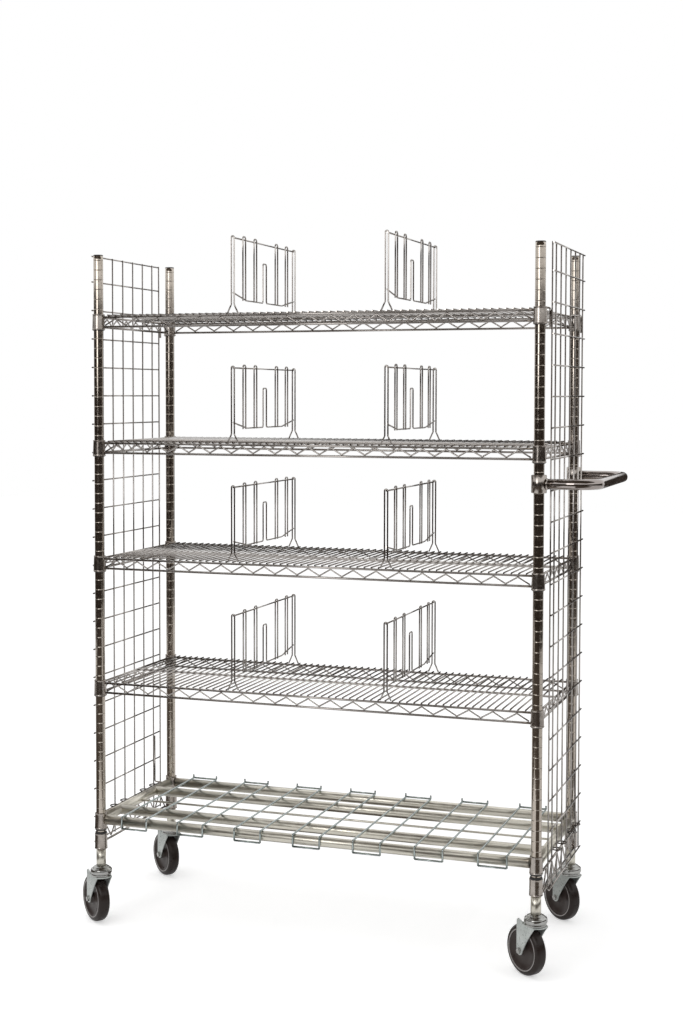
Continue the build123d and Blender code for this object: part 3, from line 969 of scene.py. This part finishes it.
@dataclass
class PushHandle(SubAssembly):
    """A bent tube between two ring clamps on the right-hand posts, with a weld bead at each.

    The bead's rows are given from the tube's radius and from the bead's foot.
    """

    tube_bend: Bend = (0.050, 14)
    tube_seat: float = 0.001
    clamp_radius: float = 0.0185
    clamp_lip: float = 0.0008
    clamp_gap: float = 0.0002
    bead_seat: float = 0.0008
    bead: Profile = ((-0.00127, 0.0), (0.0018, 0.0), (0.0018, 0.001), (0.0004, 0.004), (-0.00127, 0.004))

    def build(self) -> None:
        """Make the tube, the clamps and their weld beads."""
        low, high = node_box("push_handle")
        clamp_low, clamp_high = node_box("handle_clamps")
        front, rear = self.layout.posts[Corner.FRONT_RIGHT], self.layout.posts[Corner.REAR_RIGHT]
        radius, z, out = self.layout.post_radius, (low[2] + high[2]) / 2, high[0] - self.layout.post_radius
        face = front[0] + self.clamp_radius
        start = face - self.tube_seat
        path = points([start, out, out, start], [front[1], front[1], rear[1], rear[1]], z)
        tube = Skin().wires(rounded(path, *self.tube_bend), Z_AXIS, radius, TUBE_SIDES)
        clamp = lathe(band(radius + self.clamp_gap, self.clamp_radius, 0, clamp_high[2] - clamp_low[2],
                           self.clamp_lip), TUBE_SIDES)
        bead = lathe(self.bead, BOLT_SIDES, (radius, 0))[..., ::-1] * [1, 1, -1]
        clamps, beads = Skin(), Skin()
        for y in (front[1], rear[1]):
            clamps.add(clamp + [front[0], y, clamp_low[2]], Ends.JOINED)
            beads.add(bead + [face - self.bead_seat, y, z], Ends.JOINED)
        # The tube's darker plating is a painted dark reflection.
        self.dress("push_handle", "tube", tube, HANDLE_CHROME_PAINTED_DARK)
        self.dress("handle_clamps", "rings", clamps, COLLAR_CHROME)
        self.shop.piece("handle_weld_beads", beads, COLLAR_CHROME)


@dataclass
class Castor(SubAssembly):
    """A swivel castor: stem and bearing on the post, fork and axle that swivel, hub and tyre that roll.

    A profile's heights are given from the level or the face that its part sits on.
    """

    corner: Corner
    heading: float = math.radians(140.9)
    trail: float = 0.035
    wheel_radius: float = 0.0625
    wheel_width: float = 0.032
    shoulder: float = 0.011
    tyre_seat: Pair = (0.0005, 0.0006)
    hub_radius: float = 0.050
    hub_half: float = 0.0145
    hub_boss: Profile = ((0.0042, 0.0191), (0.0110, 0.0191), (0.0120, 0.0180))
    hub_web: Profile = ((0.0128, -0.0022), (0.0150, -0.0030))
    hub_rim: Profile = ((-0.0080, -0.0030), (-0.0062, -0.0012), (-0.0020, -0.0004), (0.0, -0.0010))
    hub_ring: Profile = ((-0.0012, -0.0020), (0.0012, -0.0020), (0.0013, 0.0012), (0.0006, 0.0018),
                         (-0.0006, 0.0018), (-0.0013, 0.0012))
    sheet: float = 0.003
    sheet_bevel: float = 0.0005
    inner_half: float = 0.0195
    toe_radius: float = 0.011
    crown_gap: float = 0.0035
    hollow: float = 0.00375
    ear_rise: float = 0.010
    ear_slant: float = 0.005
    crown_reach: float = 0.036
    nose_radius: float = 0.028
    curve_points: int = 13
    bearing_gap: float = 0.0003
    dome: Profile = ((0.0256, 0.0), (0.0262, 0.0008), (0.0262, 0.0048), (0.0256, 0.0058), (0.0262, 0.0066),
                     (0.0276, 0.0074), (0.0283, 0.0088), (0.0285, 0.0110), (0.0285, 0.0142), (0.0282, 0.0166),
                     (0.0272, 0.0186), (0.0256, 0.0199), (0.0236, 0.0206), (0.0226, 0.0212), (0.0222, 0.0226),
                     (0.0206, 0.0240), (0.0176, 0.0250), (0.0162, 0.0256))
    dome_top: Profile = ((0.0157, -0.0003), (0.0135, 0.0))
    pin_end: Profile = ((0.0042, -0.0032), (0.0050, -0.0024))
    pin_seat: Pair = (0.0050, 0.001)
    pin_nut: Profile = ((0.0068, -0.003), (0.0078, -0.0026), (0.0078, -0.0004), (0.0068, 0.0))
    axle_end: Profile = ((0.0040, 0.0042), (0.0034, 0.0050))
    axle_washer: Profile = ((0.0075, 0.0), (0.0075, 0.0010), (0.0070, 0.0013))
    axle_nut: Profile = ((0.0070, 0.0012), (0.0074, 0.0018), (0.0074, 0.0046), (0.0062, 0.0052))

    def __post_init__(self) -> None:
        """Work out the levels that the pieces share."""
        self.crown_low = 2 * self.wheel_radius + self.crown_gap
        self.crown_high = self.crown_low + self.sheet
        self.wing_front = -math.sqrt(self.nose_radius ** 2 - self.inner_half ** 2)

    def seat(self, rings: Array) -> Array:
        """Ring points of a swivelling piece, turned to the castor's heading and moved under its post."""
        cosine, sine = math.cos(self.heading), math.sin(self.heading)
        return rings @ [[cosine, sine, 0], [-sine, cosine, 0], [0, 0, 1]] + self.layout.posts[self.corner]

    def along_axle(self, profile: ArrayLike, sides: int) -> Array:
        """A shape turned on the axle: (x, y, z) becomes (x, -z, y), moved to the axle and seated."""
        laid = lathe(profile, sides)[..., [0, 2, 1]] * [1, -1, 1]
        return self.seat(laid + [self.trail, 0, self.wheel_radius])

    def add_pair(self, skin: Skin, profile: Array, sides: int, ends: Ends = Ends.CAPPED) -> Skin:
        """Add a shape turned on the axle and its mirror image on the other side of the wheel."""
        rings = [self.along_axle(rows, sides) for rows in (profile, profile[::-1] * [1, -1])]
        return skin.add(np.concatenate(rings), ends, smooth=sides > NUT_SIDES)

    def stem(self) -> Skin:
        """The bearing's two-step dome over the crown, and the kingpin with its nut under it.

        Returns:
            The three shapes, turned on the post's line.
        """
        low, high = self.crown_high + self.bearing_gap, self.layout.post_bottom
        head = [0, self.crown_low - self.bearing_gap]
        dome = np.vstack([np.add(self.dome, [0, low]), np.add(self.dome_top, [0, high])])
        pin = np.vstack([np.add(self.pin_end, head), np.add(self.pin_seat, [0, low])])
        nut = np.add(self.pin_nut, head)
        skin = Skin()
        for profile, sides in ((dome, DOME_SIDES), (pin, BOLT_SIDES), (nut, NUT_SIDES)):
            skin.add(lathe(profile, sides) + self.layout.posts[self.corner], smooth=sides > NUT_SIDES)
        return skin

    def cheek(self) -> Array:
        """Outline of one cheek in the wheel's plane: a strip from toe to ear and a wing up to the crown.

        The toe is a half circle round the axle. The wing's edge is a parabola: the straight line from the toe
        to the crown plus 4 t (1 - t) times the hollow, upwards.

        Returns:
            The corners, anticlockwise seen from +Y.
        """
        front, back, axle = self.trail - self.toe_radius, self.trail + self.toe_radius, self.wheel_radius
        toe = self.toe_radius * arc(0, np.pi, self.curve_points) * [1, -1] + [self.trail, axle]
        share = np.linspace(0, 1, self.curve_points - 1)[1:, None]
        line = [front, axle] + [self.wing_front - front, self.crown_low - axle] * share
        wing = line + [0, 1] * (4 * share * (1 - share) * self.hollow)
        ear = self.crown_high + self.ear_rise
        top = [[self.wing_front, self.crown_high], [front, self.crown_high], [front, ear - self.ear_slant],
               [back - self.ear_slant, ear], [back, ear - self.ear_slant]]
        outline = np.vstack([toe, wing, top])
        return points(outline[:, 0], 0, outline[:, 1])

    def fork(self) -> Skin:
        """Two cheeks and the round-nosed crown plate between them.

        Returns:
            The three plates.
        """
        cheek, outer = self.cheek(), self.inner_half + self.sheet
        reach = math.asin(self.inner_half / self.nose_radius)
        nose = self.nose_radius * arc(reach, -reach, self.curve_points) * [-1, 1]
        crown = np.vstack([nose, [[self.crown_reach, -self.inner_half], [self.crown_reach, self.inner_half]]])
        skin = Skin()
        for outline, up in ((cheek - Y_AXIS * outer, Y_AXIS), (cheek + Y_AXIS * self.inner_half, Y_AXIS),
                            (points(*crown.T, self.crown_low), Z_AXIS)):
            skin.add(self.seat(plate(outline, up * self.sheet, self.sheet_bevel)), smooth=False)
        return skin

    def axle(self) -> Skin:
        """The axle with a washer and a nut outside each cheek.

        Returns:
            The rod, the washers and the nuts.
        """
        outer = [0, self.inner_half + self.sheet]
        end = np.add(self.axle_end, outer)
        skin = Skin().add(self.along_axle(np.vstack([end[::-1] * [1, -1], end]), BOLT_SIDES))
        self.add_pair(skin, np.add(self.axle_washer, outer), TUBE_SIDES)
        return self.add_pair(skin, np.add(self.axle_nut, outer), NUT_SIDES)

    def disc(self) -> Skin:
        """The wheel centre: a dished disc on both sides of a thick web, with a boss round the axle."""
        face = np.vstack([self.hub_boss, np.add(self.hub_web, [0, self.hub_half]),
                          np.add(self.hub_rim, [self.hub_radius, self.hub_half])])
        return Skin().add(self.along_axle(np.vstack([face * [1, -1], face[::-1]]), WHEEL_SIDES), Ends.JOINED)

    def rings(self) -> Skin:
        """A pale raised ring on each face, where the tyre meets the wheel centre."""
        ring = np.add(self.hub_ring, [self.hub_radius, self.hub_half])
        return self.add_pair(Skin(), ring, WHEEL_SIDES, Ends.JOINED)

    def tyre(self) -> Skin:
        """The tyre: a flat tread, a quarter of a circle over each shoulder, and flat sides down to the hub.

        Returns:
            The tyre.
        """
        radius, half = self.wheel_radius, self.wheel_width / 2
        shoulder = [radius, half] - self.shoulder * (1 - arc(0, np.pi / 2, 9))
        seat = [self.hub_radius, half] - np.array(self.tyre_seat)
        profile = np.vstack([shoulder[::-1] * [1, -1], shoulder, seat, seat * [1, -1]])
        return Skin().add(self.along_axle(profile, WHEEL_SIDES), Ends.JOINED)

    def build(self) -> None:
        """Make the castor's pieces on their three bodies."""
        node = f"castor_{self.corner.label}"
        swivel, wheel = f"{node}_swivel", f"{node}_wheel"
        self.shop.piece(f"{node}_bearing", self.stem(), BEARING_ZINC, stands_for=(f"{node}_stem",))
        self.dress(f"{node}_fork", "pressed", self.fork(), CASTOR_ZINC, swivel)
        self.dress(f"{node}_axle", "bolt", self.axle(), BEARING_ZINC, swivel)
        self.dress(f"{node}_hub", "disc", self.disc(), HUB_PLASTIC, wheel)
        self.shop.piece(f"{node}_hub_rings", self.rings(), RING_PLASTIC, wheel)
        self.dress(f"{node}_tyre", "round", self.tyre(), TYRE_RUBBER, wheel)


# Studio


@dataclass(frozen=True)
class Softbox:
    """A soft lamp that points at a place."""

    name: str
    place: Triple
    aim: Triple
    size: Pair
    power: float

    def build(self) -> None:
        """Hang the lamp."""
        data = bpy.data.lights.new(self.name, "AREA")
        data.shape = "RECTANGLE"
        data.size, data.size_y = self.size
        data.energy = self.power
        lamp = in_scene(self.name, data)
        lamp.visible_camera = False
        lamp.location = self.place
        lamp.rotation_euler = (Vector(self.aim) - Vector(self.place)).to_track_quat("-Z", "Y").to_euler()


@dataclass
class Studio:
    """A pale floor, soft lamps, a white surround, dark flags for the plating to reflect, and the camera."""

    layout: Layout
    focal_pixels: float = 1604.34
    centre_pixels: Pair = (311.75, 467.21)
    camera_place: Triple = (1.38086, -3.99601, 1.41347)
    yaw: float = -0.3484
    pitch: float = 0.0459
    roll: float = -0.0009
    sensor: float = 36.0
    indirect_strength: float = 0.65
    floor_size: float = 30.0
    floor_tones: tuple[Triple, Triple] = ((0.90, 0.90, 0.90), (0.93, 0.93, 0.93))
    floor_clouds: Pair = (3.0, 4.0)
    floor_roughness: float = 0.9
    floor_fill: float = 0.45
    floor_shine: float = 0.12
    # Painted reflections: the flags below are seen by glossy rays alone, so their dark tones are painted into
    # the plating's reflections.
    painted_reflection_wall_tones: tuple[Triple, Triple] = ((0.038, 0.028, 0.022), (0.056, 0.043, 0.034))
    wall_radius: float = 5.5
    wall_height: float = 2.0
    wall_points: int = 33
    reflection_walls: tuple[tuple[str, Pair], ...] = (("front_wall_flag", (-200.0, 40.0)),
                                           ("back_wall_flag", (62.0, 125.0)))
    painted_reflection_cloth_tones: tuple[Triple, Triple] = ((0.080, 0.061, 0.046), (0.115, 0.090, 0.069))
    reflection_cloth_clouds: Pair = (2.0, 3.0)
    reflection_cloths: tuple[tuple[str, float, Pair, Pair], ...] = (
        ("front_flag", 0.003, (-4.0, 4.0), (-6.0, -2.0)), ("left_flag", 0.003, (-4.0, -1.1), (-2.0, 0.5)),
        ("right_flag", 0.003, (0.5, 2.6), (-2.0, -0.6)), ("under_flag", 0.003, (-0.5, 0.3), (-0.15, 0.25)),
        ("ceiling_flag", 3.6, (-4.0, 4.0), (-3.6, 0.3)))
    softboxes: tuple[Softbox, ...] = (
        Softbox("front_softbox", (-0.9, -4.4, 2.3), (0.0, 0.0, 1.5), (1.9, 1.7), 30.0),
        Softbox("top_softbox", (-0.9, -0.9, 4.2), (0.0, 0.0, 0.6), (2.0, 2.0), 26.0))

    def camera(self) -> None:
        """Stand the camera where the photograph was taken, with its lens and small shift."""
        data = bpy.data.cameras.new("photo_camera")
        data.sensor_fit = "VERTICAL"
        data.sensor_height = self.sensor
        data.lens = self.focal_pixels * self.sensor / IMAGE_HEIGHT
        data.shift_x = (IMAGE_WIDTH / 2 - self.centre_pixels[0]) / IMAGE_HEIGHT
        data.shift_y = (self.centre_pixels[1] - IMAGE_HEIGHT / 2) / IMAGE_HEIGHT
        camera = in_scene("photo_camera", data)
        turns = ((-self.yaw, "Z"), (math.pi / 2 - self.pitch, "X"), (-self.roll, "Z"))
        camera.matrix_world = Matrix.Translation(self.layout.at(*self.camera_place))
        for angle, axis in turns:
            camera.matrix_world @= Matrix.Rotation(angle, 4, axis)
        bpy.context.scene.camera = camera

    def surround(self) -> None:
        """A white surround that the camera and the plating see, and a softer one that lights the rest."""
        world = bpy.data.worlds.new("surround")
        bpy.context.scene.world = world
        recipe = Recipe(world)
        seen = recipe.maths("MAXIMUM", recipe.ray("Camera"), recipe.ray("Glossy"))
        seen = recipe.maths("MAXIMUM", seen, recipe.ray("Transmission"))
        recipe.fill(recipe.shader, {"Color": (1.0, 1.0, 1.0, 1.0),
                                    "Strength": recipe.spread(seen, self.indirect_strength, 1.0, (0.0, 1.0))})

    def sheet(self, name: str, grid: Array, material: bpy.types.Material) -> bpy.types.Object:
        """An open sheet of quads.

        Args:
            name: its name.
            grid: its points, shape (2, columns, 3).
            material: what it is made of.

        Returns:
            The object.
        """
        columns = grid.shape[1]
        first = np.arange(columns - 1)
        quads = np.stack([first, first + columns, first + columns + 1, first + 1], axis=1)
        mesh = bpy.data.meshes.new(name)
        mesh.from_pydata(grid.reshape(-1, 3).tolist(), [], quads.tolist())
        mesh.materials.append(material)
        return in_scene(name, mesh)

    def floor(self) -> None:
        """A pale matt floor, white to the camera apart from the shadow on it."""
        recipe = Recipe(bpy.data.materials.new("floor_paper"))
        shine = recipe.maths("MULTIPLY", recipe.ray("Glossy"), self.floor_shine)
        recipe.fill(recipe.shader, {
            "Base Color": recipe.clouds(*self.floor_clouds, *self.floor_tones),
            "Roughness": self.floor_roughness, "Emission Color": (1.0, 1.0, 1.0, 1.0),
            "Emission Strength": recipe.maths("MULTIPLY_ADD", recipe.ray("Camera"), self.floor_fill, shine)})
        edge = np.array([-1, 1]) * self.floor_size / 2
        floor = self.sheet("floor", points(edge[:, None], edge, 0), recipe.owner)

    def flag(self, name: str, grid: Array, tones: tuple[Triple, Triple]) -> None:
        """A dark sheet that only glossy rays see, which paints a dark reflection into the plating.

        Args:
            name: the flag's name.
            grid: its points, shape (2, columns, 3).
            tones: its darker and its lighter colour.
        """
        reflection_cloth = Recipe(bpy.data.materials.new(f"{name}_cloth"))
        reflection_cloth.fill(reflection_cloth.shader, {"Base Color": reflection_cloth.clouds(*self.reflection_cloth_clouds, *tones), "Roughness": 1.0})
        flag = self.sheet(name, grid, reflection_cloth.owner)
        # Seen by glossy rays alone, so the sheet is only a painted dark reflection in the plating.
        flag.visible_camera = flag.visible_diffuse = flag.visible_shadow = flag.visible_transmission = False

    def flags(self) -> None:
        """Dark sheets seen only in the plating, which paint dark reflections into it: curved ones round the
        camera's side and behind, flat ones low over the ground, and one overhead.

        A point of a wall stands at (radius * cos a, radius * sin a, height), with a running over its span.
        """
        for name, span in self.reflection_walls:
            ring = points(*self.wall_radius * arc(*np.radians(span), self.wall_points).T, 0)
            self.flag(name, np.stack([ring, ring + Z_AXIS * self.wall_height]), self.painted_reflection_wall_tones)
        for name, height, across, (near, far) in self.reflection_cloths:
            self.flag(name, points(across, [[near], [far]], height), self.painted_reflection_cloth_tones)

    def build(self) -> None:
        """Set the stage."""
        self.camera()
        self.surround()
        self.floor()
        self.flags()
        bpy.context.scene.view_settings.view_transform = "Standard"
        for softbox in self.softboxes:
            softbox.build()


def main() -> None:
    """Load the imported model, set the stage and dress the model piece by piece."""
    logging.basicConfig(level=logging.INFO, format="%(message)s")
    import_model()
    layout, shop = Layout(), Workshop()
    Studio(layout).build()
    PostSet(layout, shop).build()
    for number in SHELF_NUMBERS:
        WireShelf(layout, shop, number).build()
        for side in Side:
            Divider(layout, shop, number, side).build()
    BaseShelf(layout, shop).build()
    for side in Side:
        EndPanel(layout, shop, side).build()
    PanelAnchors(layout, shop).build()
    PushHandle(layout, shop).build()
    for corner in Corner:
        Castor(layout, shop, corner).build()
    bpy.context.view_layer.update()


if __name__ == "__main__":
    main()
